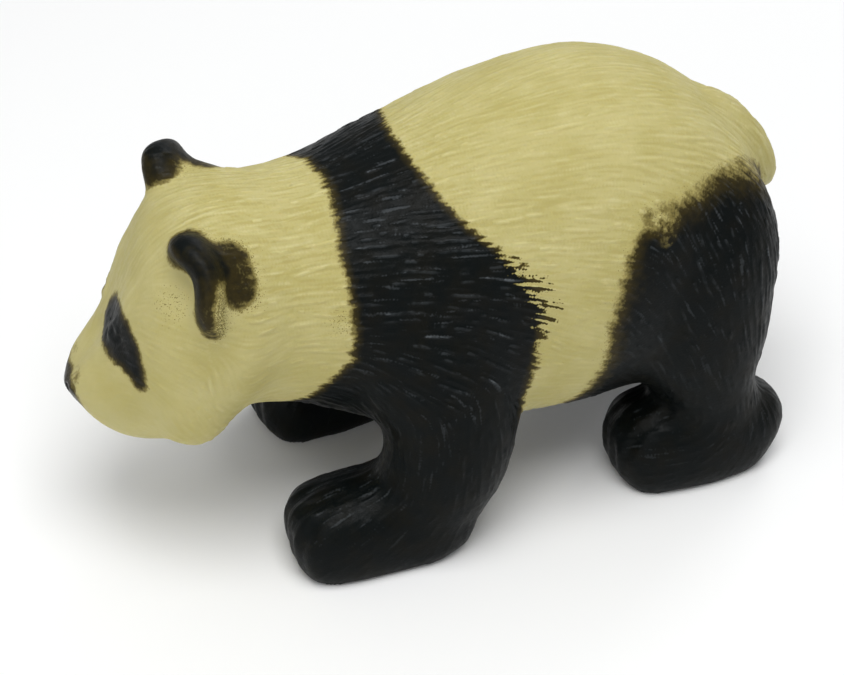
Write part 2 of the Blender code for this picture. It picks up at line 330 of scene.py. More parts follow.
@dataclass(frozen=True)
class FurGuides:
    """Which way the fur lies: places, and the way of the fur there, for the left side."""

    softness: float = 3.0
    head: tuple[tuple[Triple, Triple], ...] = (
        ((14.2, 5.2, -6.0), (-4.3, 4.4, 2.2)),
        ((9.7, 2.1, 5.0), (-3.1, 0.3, 6.0)),
        ((1.5, 2.4, 14.0), (-6.8, -1.5, -0.5)),
        ((5.6, 11.5, 4.0), (-4.1, 3.5, 0.1)),
        ((4.9, 12.3, -2.0), (-6.3, 2.5, -2.1)),
        ((2.8, 12.5, -7.0), (-2.5, -1.6, -7.0)),
        ((0.2, 12.8, -2.0), (0.3, -1.2, -11.0)),
        ((9.0, 4.0, -12.0), (-6.0, 0.0, -1.0)),
    )
    body: tuple[tuple[Triple, Triple], ...] = (
        ((-20.0, -3.0, 45.3), (7.0, -0.5, -0.5)),
        ((-19.0, -6.0, 44.5), (7.3, 0.6, -0.4)),
        ((-20.0, -11.5, 40.0), (8.0, -0.4, -0.6)),
        ((-24.5, -13.0, 30.5), (5.0, 0.6, 1.1)),
        ((-23.5, -11.6, 25.8), (6.0, -0.4, 0.6)),
        ((-25.0, 0.0, 20.0), (6.0, 0.0, -0.6)),
        ((-13.0, -6.0, 16.0), (3.0, 0.0, -6.0)),
        ((-7.5, -1.5, 46.6), (5.5, -1.4, 1.5)),
        ((-8.0, -12.0, 42.0), (9.5, -3.0, 0.0)),
        ((-7.0, -15.5, 36.0), (12.0, -3.0, -0.6)),
        ((-5.5, -18.2, 26.0), (10.0, -3.0, -6.0)),
        ((-3.4, -20.0, 20.0), (-0.4, -1.3, -9.0)),
        ((-8.5, -19.5, 15.6), (-0.7, 0.0, -8.5)),
        ((-14.0, -19.0, 7.5), (-7.6, 0.0, -5.8)),
        ((-16.0, -13.4, 10.6), (-8.5, 0.5, -3.0)),
        ((3.0, -16.0, 12.0), (0.5, 0.0, -8.0)),
        ((-2.0, -7.0, 8.0), (0.0, 0.0, -8.0)),
        ((6.0, -3.0, 50.0), (9.0, -2.0, 1.7)),
        ((8.0, -13.0, 45.5), (10.0, -2.0, 0.0)),
        ((12.7, -17.6, 38.3), (10.6, -1.2, -2.4)),
        ((10.4, -18.7, 28.8), (8.2, 0.0, -4.5)),
        ((9.7, -17.3, 21.3), (6.4, 0.0, -2.0)),
        ((8.0, -6.0, 10.5), (6.0, 0.0, 0.0)),
        ((19.0, -4.0, 51.5), (9.0, -0.5, 0.0)),
        ((28.0, -8.0, 46.6), (10.0, 1.5, -4.8)),
        ((36.0, -3.8, 42.0), (8.0, -0.8, -8.7)),
        ((45.0, 0.0, 36.0), (1.5, 0.0, -5.0)),
        ((26.5, -17.8, 34.6), (3.3, -2.0, -8.0)),
        ((21.4, -18.9, 26.0), (7.0, 0.0, -12.5)),
        ((32.5, -17.3, 32.5), (1.2, -3.0, -10.0)),
        ((38.0, -12.0, 28.0), (0.5, -1.0, -10.0)),
        ((27.5, -18.7, 13.5), (4.5, 0.0, -9.0)),
        ((37.0, -12.0, 12.0), (1.0, 0.0, -9.0)),
        ((23.8, -17.3, 8.2), (-6.8, 2.4, 0.3)),
        ((26.0, -12.0, 10.5), (-8.0, 0.0, -0.8)),
        ((32.0, -6.0, 10.0), (0.0, 0.0, -8.0)),
    )

    def placed(self) -> tuple[np.ndarray, np.ndarray]:
        """Lays the guides out on both sides of the figure.

        Returns:
            Their places and their unit ways.
        """
        places, ways = [], []
        for side in Side:
            places.append(LEVEL_HEAD.to_body([at for at, _ in self.head], side))
            ways.append(LEVEL_HEAD.ways_to_body([way for _, way in self.head], side))
            places.append(GAIT.on_side(np.array([at for at, _ in self.body]), side))
            mirror = (1.0, float(side.value), 1.0)
            ways.append(np.array([way for _, way in self.body]) * mirror)
        lengths = np.linalg.norm(np.vstack(ways), axis=1, keepdims=True)
        return np.vstack(places), np.vstack(ways) / lengths

    def ways(self, places: np.ndarray, normals: np.ndarray) -> np.ndarray:
        """Unit direction of the fur at each place, along the surface.

        Args:
            places: Places on the figure.
            normals: The surface's normals there.

        Returns:
            One unit vector for each place.
        """
        at, way = self.placed()
        summed = np.zeros_like(places)
        for guide, direction in zip(at, way):
            gap = ((places - guide) ** 2).sum(axis=1) + self.softness**2
            summed += direction * (1.0 / gap**2)[:, None]
        summed -= normals * np.einsum("ij,ij->i", summed, normals)[:, None]
        return summed / np.maximum(np.linalg.norm(summed, axis=1, keepdims=True), 1e-12)


@dataclass(frozen=True)
class Coat:
    """How far the hairs stand out over the figure, as shares that ease in along their spans."""

    # Ahead of the head's pivot, in the level head frame
    face_span: Pair = (1.0, 6.5)
    face_share: float = 0.5
    # Ahead of the head's pivot, in the pitched head frame
    muzzle_span: Pair = (11.0, 14.0)
    muzzle_share: float = 0.3
    # An ear in the level head frame, and the share of its half sizes where it starts and ends
    ear_middle: Triple = (1.6, 11.4, 11.0)
    ear_half_sizes: Triple = (4.2, 5.2, 6.2)
    ear_span: Pair = (1.15, 0.9)
    ear_share: float = 0.06
    # Heights over the ground
    paw_span: Pair = (10.0, 3.5)
    paw_share: float = 0.5
    leg_span: Pair = (26.0, 16.0)
    leg_share: float = 0.7
    sole_span: Pair = (0.5, 2.2)
    # Height of the back, and distance behind the middle
    back_heights: Pair = (40.0, 49.0)
    back_span: Pair = (-4.0, 6.0)
    back_share: float = 0.7

    def share(self, places: np.ndarray) -> np.ndarray:
        """Works out how far the hairs stand out.

        Args:
            places: Places on the figure.

        Returns:
            The share of the full height at each place, from 0 to 1.
        """
        level = LEVEL_HEAD.from_body(places)
        level[:, 1] = np.abs(level[:, 1])
        ahead = PITCHED_HEAD.from_body(places)[:, 0]
        ear_gap = (level - self.ear_middle) / self.ear_half_sizes
        heights = places[:, 2]
        strength = np.ones(len(places))
        for share, eased in (
            (self.face_share, ease(*self.face_span, level[:, 0])),
            (self.muzzle_share, ease(*self.muzzle_span, ahead)),
            (self.ear_share, ease(*self.ear_span, np.linalg.norm(ear_gap, axis=1))),
            (self.paw_share, ease(*self.paw_span, heights)),
            (self.back_share, ease(*self.back_heights, heights) * ease(*self.back_span, places[:, 0])),
            (self.leg_share, ease(*self.leg_span, heights)),
        ):
            strength *= 1.0 + (share - 1.0) * eased
        return strength * ease(*self.sole_span, heights)


@dataclass
class Hairs:
    """Samples along all hairs: where they are, which way they run, how high they stand."""

    places: list[Triple] = field(default_factory=list)
    ways: list[Triple] = field(default_factory=list)
    heights: list[float] = field(default_factory=list)
    characters: list[float] = field(default_factory=list)
    # How long the full height lasts past a sample, in half widths, and how round a hair is
    bluntness: float = 0.5
    roundness: float = 1.5

    def tree(self) -> KDTree:
        """Fills a search tree with the samples.

        Returns:
            The tree.
        """
        tree = KDTree(len(self.places))
        for index, place in enumerate(self.places):
            tree.insert(place, index)
        tree.balance()
        return tree

    def reach(self, places: np.ndarray, half_width: float) -> tuple[np.ndarray, np.ndarray]:
        """What the nearest hair does at each place.

        Args:
            places: Places on the surface.
            half_width: Half the width of a hair.

        Returns:
            How high the hair stands there, and the character of the nearest hair.
        """
        tree = self.tree()
        nearest = np.array([tree.find(place)[1] for place in places.tolist()])
        at = np.array(self.places)[nearest]
        way = np.array(self.ways)[nearest]
        offset = places - at
        along = np.einsum("ij,ij->i", offset, way)
        across = np.sqrt(np.maximum((offset**2).sum(axis=1) - along**2, 0.0))
        beyond = np.maximum(np.abs(along) - self.bluntness * half_width, 0.0)
        gap = np.hypot(across, beyond) / half_width
        profile = np.clip(1.0 - gap**2, 0.0, 1.0) ** self.roundness
        return np.array(self.heights)[nearest] * profile, np.array(self.characters)[nearest]


@dataclass
class HairDrawer:
    """Draws the fur: even rows of wavy hairs of many lengths along the guides."""

    # Room that a hair needs where it starts and along its way, and the length of a step
    spacing: float = 0.78
    crowding: float = 0.58
    step: float = 0.28
    shortest: float = 2.0
    longest: float = 10.0
    half_width: float = 0.33
    low: float = 0.05
    high: float = 0.15
    # How deep the skin lies between the hairs, as a share of the highest
    sunk: float = 0.35
    # How far the hairs swing aside, in radians, and the length of a wave
    wave_angle: float = 0.32
    wave_size: float = 2.2
    # Share of the coat below which no hair grows, and the least length as a share of the shortest
    barest: float = 0.03
    least_share: float = 0.6
    # How fast a hair rises at its root and falls at its tip, and the share of its height there
    root_taper: Pair = (5.0, 0.25)
    tip_taper: Pair = (2.2, 0.12)
    tries: int = 45000
    seed: int = 11
    cells: dict[tuple[int, int, int], list[Triple]] = field(default_factory=dict)

    def cell(self, place: Vector) -> tuple[int, int, int]:
        """Cell of the crowd grid that a place is in."""
        size = self.spacing
        return (math.floor(place[0] / size), math.floor(place[1] / size), math.floor(place[2] / size))

    def crowded(self, place: Vector, room: float) -> bool:
        """Tells whether an earlier hair passes too near.

        Args:
            place: Where a hair would go.
            room: The room that it needs.

        Returns:
            True where an earlier hair is within that room.
        """
        cx, cy, cz = self.cell(place)
        limit = room * room
        for i in (cx - 1, cx, cx + 1):
            for j in (cy - 1, cy, cy + 1):
                for k in (cz - 1, cz, cz + 1):
                    for x, y, z in self.cells.get((i, j, k), ()):
                        gap = (x - place[0]) ** 2 + (y - place[1]) ** 2 + (z - place[2]) ** 2
                        if gap < limit:
                            return True
        return False

    def run(self, start: int, sign: float, limit: int, ground: "Ground") -> list[Vector]:
        """Follows the fur from a vertex.

        Args:
            start: Index of the vertex.
            sign: 1 to go with the fur and -1 to go against it.
            limit: The most steps it may take.
            ground: The surface that it is drawn on.

        Returns:
            The places passed, without the start.
        """
        passed = []
        place = ground.spots[start]
        index = start
        for _ in range(limit):
            swing = self.wave_angle * noise.noise(place / self.wave_size)
            way = ground.ways[index] + ground.sideways[index] * swing
            ahead = place + way * (sign * self.step)
            _, index, _ = ground.tree.find(ahead)
            tilt = ground.tilts[index]
            place = ahead - tilt * (ahead - ground.spots[index]).dot(tilt)
            if self.crowded(place, self.crowding) or ground.share[index] < self.barest:
                break
            passed.append(place)
        return passed

    def draw(self, ground: "Ground") -> Hairs:
        """Draws all hairs on a surface.

        Args:
            ground: The surface.

        Returns:
            The samples of the hairs.
        """
        drawn = Hairs()
        dice = random.Random(self.seed)
        count = len(ground.spots)
        for _ in range(self.tries):
            start = dice.randrange(count)
            length = self.shortest + (self.longest - self.shortest) * dice.random() ** 2
            height = self.low + (self.high - self.low) * dice.random()
            character = dice.uniform(-1.0, 1.0)
            if ground.share[start] < self.barest or self.crowded(ground.spots[start], self.spacing):
                continue
            half = int(0.5 * length / self.step)
            back = self.run(start, -1.0, half, ground)
            ahead = self.run(start, 1.0, half, ground)
            line = back[::-1] + [ground.spots[start]] + ahead
            if len(line) * self.step < self.least_share * self.shortest:
                continue
            self.record(line, height * ground.share[start], character, drawn)
        return drawn

    def record(self, line: list[Vector], height: float, character: float, drawn: Hairs) -> None:
        """Adds a hair that rises fast at its root and falls slowly to its tip.

        Args:
            line: The places that it runs through.
            height: How high it stands.
            character: Its own number from -1 to 1.
            drawn: The hairs that it is added to.
        """
        last = len(line) - 1
        rise, root = self.root_taper
        fall, tip = self.tip_taper
        for k, place in enumerate(line):
            share = k / last
            taper = min(1.0, rise * share + root, fall * (1.0 - share) + tip)
            way = (line[min(k + 1, last)] - line[max(k - 1, 0)]).normalized()
            spot = place.to_tuple()
            drawn.places.append(spot)
            drawn.ways.append(way.to_tuple())
            drawn.heights.append(height * taper)
            drawn.characters.append(character)
            self.cells.setdefault(self.cell(place), []).append(spot)


@dataclass
class Ground:
    """A surface prepared for drawing: its vertices, their normals and the ways of the fur."""

    clay: Clay
    guides: FurGuides
    coat: Coat
    spots: list[Vector] = field(init=False)
    tilts: list[Vector] = field(init=False)
    ways: list[Vector] = field(init=False)
    sideways: list[Vector] = field(init=False)
    share: list[float] = field(init=False)
    tree: KDTree = field(init=False)

    def __post_init__(self) -> None:
        """Works out the ways and fills the search tree."""
        places, normals = self.clay.places, self.clay.normals
        ways = self.guides.ways(places, normals)
        self.spots = [Vector(place) for place in places.tolist()]
        self.tilts = [Vector(tilt) for tilt in normals.tolist()]
        self.ways = [Vector(way) for way in ways.tolist()]
        self.sideways = [Vector(way) for way in np.cross(normals, ways).tolist()]
        self.share = self.coat.share(places).tolist()
        self.tree = KDTree(len(self.spots))
        for index, spot in enumerate(self.spots):
            self.tree.insert(spot, index)
        self.tree.balance()


@dataclass(frozen=True)
class PaintMap:
    """Where the black is sprayed, as depths inside its edge, given for the left side."""

    # Height, front edge and rear edge of the band over the shoulders and down the forelegs
    band_rows: tuple[Triple, ...] = (
        (0.0, -32.0, 9.0),
        (12.0, -29.0, 6.0),
        (18.0, -24.0, 4.6),
        (20.3, -21.5, 4.4),
        (23.1, -19.4, 5.0),
        (25.6, -18.4, 5.4),
        (29.6, -15.5, 5.8),
        (33.8, -15.0, 6.6),
        (36.6, -14.9, 5.6),
        (38.9, -14.9, 4.2),
        (42.4, -14.7, 0.3),
        (44.4, -14.0, -1.7),
        (46.9, -12.4, -3.6),
        (48.5, -12.2, -5.0),
    )
    # Height and front edge of the black over the haunch and down the hind leg
    haunch_rows: tuple[Pair, ...] = (
        (0.0, 10.0),
        (12.0, 11.0),
        (18.8, 13.4),
        (23.3, 14.6),
        (29.5, 14.8),
        (34.5, 15.8),
        (38.5, 17.2),
        (41.2, 19.6),
    )
    # Distance behind the middle and top edge of the black over the haunch
    crest_rows: tuple[Pair, ...] = (
        (17.0, 40.6),
        (20.0, 41.6),
        (24.0, 41.6),
        (27.0, 41.8),
        (30.6, 42.2),
        (34.5, 41.0),
        (38.0, 37.8),
        (41.3, 33.4),
        (44.0, 30.0),
    )
    # Height and half width of the cream strip down the rump and the tail
    strip_rows: tuple[Pair, ...] = (
        (27.0, -2.5),
        (28.5, 3.4),
        (32.0, 4.4),
        (37.0, 5.4),
        (41.0, 9.0),
        (44.0, 13.0),
    )
    # Lines that the black of an ear was sprayed along, in the level head frame, and how wide
    ear_line: tuple[Triple, ...] = (
        (3.0, 7.2, 12.8),
        (2.9, 9.1, 13.9),
        (1.4, 11.8, 12.6),
        (1.4, 13.5, 10.0),
        (1.4, 14.0, 7.8),
        (1.0, 13.6, 6.3),
    )
    ear_half_widths: tuple[float, ...] = (2.3, 2.7, 2.3, 1.9, 1.6, 1.2)
    ear_back_line: tuple[Triple, ...] = ((0.6, 9.4, 13.2), (-0.6, 10.6, 11.6))
    ear_back_reach: float = 1.6
    ear_shade_line: tuple[Triple, ...] = ((-1.6, 9.2, 12.0), (-2.2, 11.2, 9.5))
    ear_shade_reach: float = 2.2
    ear_shade_most: float = 0.34
    right_ear_lead: float = 1.4
    # Middle line of an eye patch, in the level head frame, and the half widths on it
    patch_lines: tuple[tuple[Triple, ...], ...] = (
        (
            (12.2, 2.5, 0.4),
            (11.8, 3.9, 0.4),
            (11.0, 6.2, 0.0),
            (10.2, 7.9, -0.7),
            (9.6, 9.2, -1.9),
            (9.2, 10.0, -3.3),
        ),
        (
            (11.2, 4.9, -0.2),
            (11.1, 5.6, -0.3),
            (10.8, 6.8, -0.6),
            (10.1, 8.1, -1.2),
            (9.6, 9.3, -2.2),
            (9.2, 10.0, -3.4),
        ),
    )
    patch_half_widths: tuple[tuple[float, ...], ...] = (
        (3.0, 3.1, 3.0, 2.4, 1.6, 0.9),
        (1.0, 1.8, 2.7, 2.7, 2.1, 1.3),
    )
    nose_middle: Triple = (19.6, 0.0, 0.9)
    nose_half_sizes: Triple = (2.4, 4.0, 2.6)
    # Painted shade: faint brown in the hollow by a nostril
    nostril_shade_middle: Triple = (17.8, 2.2, 3.1)
    nostril_shade_reach: float = 1.2
    nostril_shade_most: float = -0.38
    # Height, and how far tufts of paint reach over the edge behind the shoulders
    fringe_rows: tuple[Pair, ...] = (
        (24.0, 0.35),
        (28.0, 0.6),
        (31.0, 1.3),
        (34.0, 2.2),
        (38.0, 2.0),
        (41.0, 0.8),
        (44.0, 0.3),
    )
    edge_fringe: float = 0.25
    haunch_fringe: float = 0.14
    # Lines along which the black is thin, how far beside them and how thin: over the haunch,
    # and behind and on the tip of an ear
    haunch_thin: tuple[tuple[tuple[Triple, ...], float, float], ...] = (
        (((20.8, -17.0, 40.4), (22.4, -16.6, 39.6), (21.6, -17.0, 38.4)), 2.2, 0.62),
        (((19.6, -18.6, 34.6), (19.4, -18.8, 30.4)), 2.2, 0.42),
    )
    ear_thin: tuple[tuple[tuple[Triple, ...], float, float], ...] = (
        (((-0.1, 13.5, 11.2), (0.1, 14.4, 9.4), (0.1, 14.6, 7.8), (-0.4, 13.6, 6.2)), 1.6, 0.85),
        (((5.0, 9.0, 13.4), (5.0, 10.2, 14.2)), 1.6, 0.25),
    )
    # Places with stray specks of black, how far around them and how dense
    stray: tuple[tuple[Triple, float, float], ...] = (
        ((5.0, 10.3, 7.4), 4.4, 0.5),
        ((-13.4, 10.9, 3.0), 3.2, 0.55),
        ((-3.4, 11.4, 8.2), 4.2, 0.55),
    )
    # How far a hair's own character moves an edge
    band_raggedness: float = 0.15
    haunch_raggedness: float = 0.06
    # How fast the black of the haunch thickens, in all and below its top edge
    haunch_pace: float = 0.5
    crest_pace: float = 0.8
    rump_start: float = 30.0
    # Distances behind the middle where the tufts behind the shoulders and on the haunch start
    shoulder_tufts: Pair = (-6.0, -3.0)
    haunch_tufts: Pair = (10.0, 13.0)
    head_fringe: float = 0.1
    wet_edge: Pair = (-0.2, 0.4)
    # How dense the overspray is at an edge, and how far it reaches
    ear_haze: Pair = (0.85, 1.2)
    patch_haze: Pair = (0.35, 0.6)
    band_haze: Pair = (0.45, 0.9)
    haunch_haze: Pair = (0.5, 1.2)
    # Distances ahead, in the level head frame, between which an ear's overspray comes in
    ear_haze_span: Pair = (2.4, 0.4)
    # Shares of the reach within which stray specks and thin paint are at their strongest
    stray_core: float = 0.2
    thin_core: float = 0.3

    def band(self, left: np.ndarray, characters: np.ndarray) -> np.ndarray:
        """Works out the depth inside the band over the shoulders.

        Args:
            left: Places, as places of the left side.
            characters: Character of the nearest hair, from -1 to 1.

        Returns:
            The depths, negative outside.
        """
        heights, fronts, rears = np.array(self.band_rows).T
        z = left[:, 2]
        front = left[:, 0] - np.interp(z, heights, fronts)
        rear = np.interp(z, heights, rears) - left[:, 0]
        return np.minimum(front, rear) + self.band_raggedness * characters

    def fringe(self, left: np.ndarray) -> np.ndarray:
        """Works out how far tufts of paint reach over the nearest edge.

        Args:
            left: Places, as places of the left side.

        Returns:
            The reaches.
        """
        behind = np.interp(left[:, 2], *np.array(self.fringe_rows).T)
        reach = self.edge_fringe + (behind - self.edge_fringe) * ease(*self.shoulder_tufts, left[:, 0])
        return reach + (self.haunch_fringe - reach) * ease(*self.haunch_tufts, left[:, 0])

    def haunch(self, left: np.ndarray, characters: np.ndarray) -> np.ndarray:
        """Works out the depth inside the black of the hind quarters.

        Args:
            left: Places, as places of the left side.
            characters: Character of the nearest hair, from -1 to 1.

        Returns:
            The depths, negative outside.
        """
        front = left[:, 0] - np.interp(left[:, 2], *np.array(self.haunch_rows).T)
        crest = np.interp(left[:, 0], *np.array(self.crest_rows).T) - left[:, 2]
        strip = -left[:, 1] - np.interp(left[:, 2], *np.array(self.strip_rows).T)
        nearest = np.minimum(front, self.crest_pace * crest)
        inside = self.haunch_pace * nearest + self.haunch_raggedness * characters
        return np.where(left[:, 0] > self.rump_start, np.minimum(inside, strip), inside)

    def ear(self, head: np.ndarray) -> np.ndarray:
        """Works out the depth inside the black of an ear.

        Args:
            head: Places in the level head frame, as places of the left side.

        Returns:
            The depths, negative outside.
        """
        gap, station = gap_to_path(head, np.array(self.ear_line))
        rim = np.interp(station, range(len(self.ear_half_widths)), self.ear_half_widths) - gap
        back = self.ear_back_reach - gap_to_path(head, np.array(self.ear_back_line))[0]
        shade = self.ear_shade_reach - gap_to_path(head, np.array(self.ear_shade_line))[0]
        return np.max([rim, back, np.minimum(shade, self.ear_shade_most)], axis=0)

    def patch(self, head: np.ndarray, side: Side) -> np.ndarray:
        """Works out the depth inside a side's eye patch.

        Args:
            head: Places in the level head frame.
            side: The side that the patch is on.

        Returns:
            The depths, negative outside.
        """
        which = 0 if side is Side.LEFT else 1
        gap, station = gap_to_path(head * (1.0, side.value, 1.0), np.array(self.patch_lines[which]))
        widths = self.patch_half_widths[which]
        return np.interp(station, range(len(widths)), widths) - gap

    def nose(self, head: np.ndarray) -> np.ndarray:
        """Depth inside the black of the nose, for pitched head coordinates."""
        gap = (head - np.array(self.nose_middle)) / np.array(self.nose_half_sizes)
        return (1.0 - np.linalg.norm(gap, axis=1)) * min(self.nose_half_sizes)

    def nostril(self, head: np.ndarray) -> np.ndarray:
        """Depth inside the painted shade, a faint brown, in the hollow by a nostril, for pitched head
        coordinates.
        """
        depth = self.nostril_shade_reach - np.linalg.norm(head - np.array(self.nostril_shade_middle), axis=1)
        return np.minimum(depth, self.nostril_shade_most)

    def haze(self, depth: np.ndarray, spray: Pair) -> np.ndarray:
        """Overspray outside an edge, from its density and its reach."""
        return spray[0] * np.exp(np.minimum(depth, 0.0) / spray[1])

    def thinness(self, left: np.ndarray, head: np.ndarray) -> np.ndarray:
        """Works out how thin the paint is.

        Args:
            left: Places, as places of the left side.
            head: The same places in the level head frame, as places of the left ear.

        Returns:
            The thinness, 0 where the paint is full.
        """
        thin = np.zeros(len(left))
        for given, lines in ((left, self.haunch_thin), (head, self.ear_thin)):
            for line, reach, strength in lines:
                gap, _ = gap_to_path(given, np.array(line))
                thin = np.maximum(thin, strength * ease(reach, self.thin_core * reach, gap))
        return thin

    def layers(self, places: np.ndarray, characters: np.ndarray) -> dict[Layer, np.ndarray]:
        """Works out all that the finish reads of the paint.

        Args:
            places: Places on the figure.
            characters: Character of the nearest hair, from -1 to 1.

        Returns:
            Depth of the paint, density of the overspray, thinness, reach of the tufts, and gloss.
        """
        left = GAIT.as_left(places)
        level = LEVEL_HEAD.from_body(places)
        patch = np.maximum(self.patch(level, Side.LEFT), self.patch(level, Side.RIGHT))
        lead = np.where(level[:, 1] < 0.0, self.right_ear_lead, 0.0)
        level[:, 1] = np.abs(level[:, 1])
        pitched = PITCHED_HEAD.from_body(places)
        pitched[:, 1] = np.abs(pitched[:, 1])
        at_ear = level - lead[:, None] * (1.0, 0.0, 0.0)
        ear, nose_pad = self.ear(at_ear), self.nose(pitched)
        band, haunch = self.band(left, characters), self.haunch(left, characters)
        body = np.maximum(band, haunch)
        hazes = [
            self.haze(ear, self.ear_haze) * ease(*self.ear_haze_span, at_ear[:, 0]),
            self.haze(patch, self.patch_haze),
            self.haze(band, self.band_haze),
            self.haze(haunch, self.haunch_haze),
        ]
        for middle, reach, dense in self.stray:
            gap = np.linalg.norm(level - np.array(middle), axis=1)
            hazes.append(dense * ease(reach, self.stray_core * reach, gap))
        return {
            Layer.PAINT: np.max([body, ear, patch, nose_pad, self.nostril(pitched)], axis=0),
            Layer.SPRAY: np.max(hazes, axis=0),
            Layer.THIN: self.thinness(left, at_ear),
            Layer.FRINGE: np.where(body > np.maximum(ear, patch), self.fringe(left), self.head_fringe),
            Layer.GLOSS: ease(*self.wet_edge, nose_pad),
        }


Socket = bpy.types.NodeSocket
Feed = Socket | float | Sequence[float]
Colour = tuple[float, float, float, float]


@dataclass(frozen=True)
class Blotches:
    """Soft noise read between two values, with what it gives at these."""

    per_mm: float
    detail: float
    span: Pair
    ends: Pair = (0.0, 1.0)


@dataclass
class Bench:
    """Short names for laying out a finish's nodes."""

    tree: bpy.types.NodeTree

    def node(self, kind: str, **settings: object) -> bpy.types.Node:
        """Adds a node.

        Args:
            kind: The node's type.
            **settings: Its settings by name.

        Returns:
            The new node.
        """
        made = self.tree.nodes.new(kind)
        for name, value in settings.items():
            setattr(made, name, value)
        return made

    def feed(self, node: bpy.types.Node, name: str | int, value: Feed) -> None:
        """Links a socket to a node's input, or sets the input's value.

        Args:
            node: The node.
            name: Name or number of its input.
            value: The socket or the value.
        """
        if isinstance(value, bpy.types.NodeSocket):
            self.tree.links.new(value, node.inputs[name])
        else:
            node.inputs[name].default_value = value

    def attribute(self, layer: Layer) -> Socket:
        """What is stored on the vertices under a layer's name."""
        return self.node("ShaderNodeAttribute", attribute_name=layer.value).outputs["Fac"]

    def where(self) -> Socket:
        """Place on the figure."""
        return self.node("ShaderNodeTexCoord").outputs["Object"]

    def noise(self, per_mm: float, detail: float = 2.0, at: Socket | None = None) -> Socket:
        """Adds soft noise around 0.5.

        Args:
            per_mm: Waves for each millimetre.
            detail: How many finer noises are on top.
            at: Where it is read, if not at the place on the figure.

        Returns:
            The noise.
        """
        made = self.node("ShaderNodeTexNoise")
        self.feed(made, "Vector", self.where() if at is None else at)
        self.feed(made, "Scale", per_mm / METRES)
        self.feed(made, "Detail", detail)
        return made.outputs["Fac"]

    def streaks(self, per_mm: float, length: float, taps: int) -> Socket:
        """Adds soft noise around 0.5 that is drawn out along the fur.

        Args:
            per_mm: Waves of the noise for each millimetre.
            length: How far it is drawn out, in millimetres.
            taps: How many times the noise is read along that length.

        Returns:
            The mean of the readings.
        """
        way = self.node("ShaderNodeAttribute", attribute_name=Layer.WAY.value).outputs["Vector"]
        readings = []
        for k in range(taps):
            shift = (k / (taps - 1) - 0.5) * length * METRES
            moved = self.node("ShaderNodeVectorMath", operation="MULTIPLY_ADD")
            for index, term in enumerate((way, (shift, shift, shift), self.where())):
                self.feed(moved, index, term)
            readings.append(self.noise(per_mm, 0.5, moved.outputs["Vector"]))
        total = readings[0]
        for reading in readings[1:]:
            total = self.plus(total, reading)
        return self.maths("DIVIDE", total, float(taps))

    def maths(self, how: str, *terms: Socket | float) -> Socket:
        """Adds an operation.

        Args:
            how: Its name.
            *terms: What it works on.

        Returns:
            The result.
        """
        made = self.node("ShaderNodeMath", operation=how)
        for index, term in enumerate(terms):
            self.feed(made, index, term)
        return made.outputs[0]

    def plus(self, one: Socket | float, other: Socket | float) -> Socket:
        """Sum of two values."""
        return self.maths("ADD", one, other)

    def minus(self, one: Socket | float, other: Socket | float) -> Socket:
        """First value less the second."""
        return self.maths("SUBTRACT", one, other)

    def times(self, one: Socket | float, other: Socket | float) -> Socket:
        """Product of two values."""
        return self.maths("MULTIPLY", one, other)

    def ramp(self, value: Socket, span: Pair, ends: Pair = (0.0, 1.0)) -> Socket:
        """Adds a smooth change.

        Args:
            value: What it follows.
            span: Where the change starts and ends.
            ends: What it gives there.

        Returns:
            The changing value.
        """
        made = self.node("ShaderNodeMapRange", interpolation_type="SMOOTHSTEP")
        names = ("Value", "From Min", "From Max", "To Min", "To Max")
        for name, given in zip(names, (value, *span, *ends)):
            self.feed(made, name, given)
        return made.outputs["Result"]

    def blotches(self, look: Blotches) -> Socket:
        """Noise as soft blotches."""
        return self.ramp(self.noise(look.per_mm, look.detail), look.span, look.ends)

    def swing(self, per_mm: float, detail: float, strength: float = 1.0) -> Socket:
        """Soft noise around 0."""
        return self.times(self.minus(self.noise(per_mm, detail), 0.5), strength)

    def mix(self, share: Socket | float, under: Feed, over: Feed) -> Socket:
        """Adds a mix of two colours.

        Args:
            share: Share of the upper colour.
            under: The lower colour.
            over: The upper colour.

        Returns:
            The mixed colour.
        """
        made = self.node("ShaderNodeMix", data_type="RGBA")
        for index, value in ((0, share), (6, under), (7, over)):
            self.feed(made, index, value)
        return made.outputs[2]


@dataclass(frozen=True)
class Hair:
    """What the finish knows of the hair at a point."""

    streaks: Socket
    # Painted highlights on the tops of the hairs
    crest_highlights: Socket
    # Strength of the coat, weaker where the surface faces down: read by the painted light of the hairs and
    # by their relief
    coat: Socket


